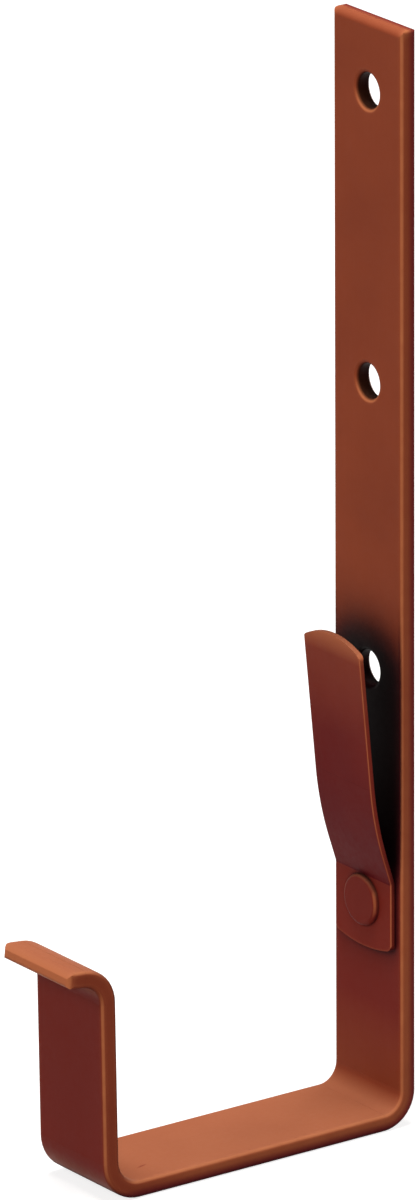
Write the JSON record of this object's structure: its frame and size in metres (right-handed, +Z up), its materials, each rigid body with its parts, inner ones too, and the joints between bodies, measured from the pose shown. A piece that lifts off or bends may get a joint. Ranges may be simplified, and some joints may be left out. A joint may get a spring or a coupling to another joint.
{
  "type": "gutter bracket",
  "caption": "Box gutter bracket bent from flat steel bar, with a long drilled leg, a square channel, a short front lip and a riveted fold-over tongue.",
  "frame": {"origin": "the middle of the three screw holes, on the wall face of the leg", "axes": "+Z up along the leg, +Y into the wall, so the gutter's channel lies on the -Y side; X runs across the bar"},
  "size_m": [0.025, 0.0938, 0.2525],
  "materials": {
    "strap_coating": "satin red-brown coating",
    "tongue_coating": "satin red-brown coating",
    "rivet_coating": "satin red-brown coating"
  },
  "bodies": {
    "root": {"strap": "strap_coating", "tongue": "tongue_coating", "rivet": "rivet_coating"}
  },
  "joints": []
}
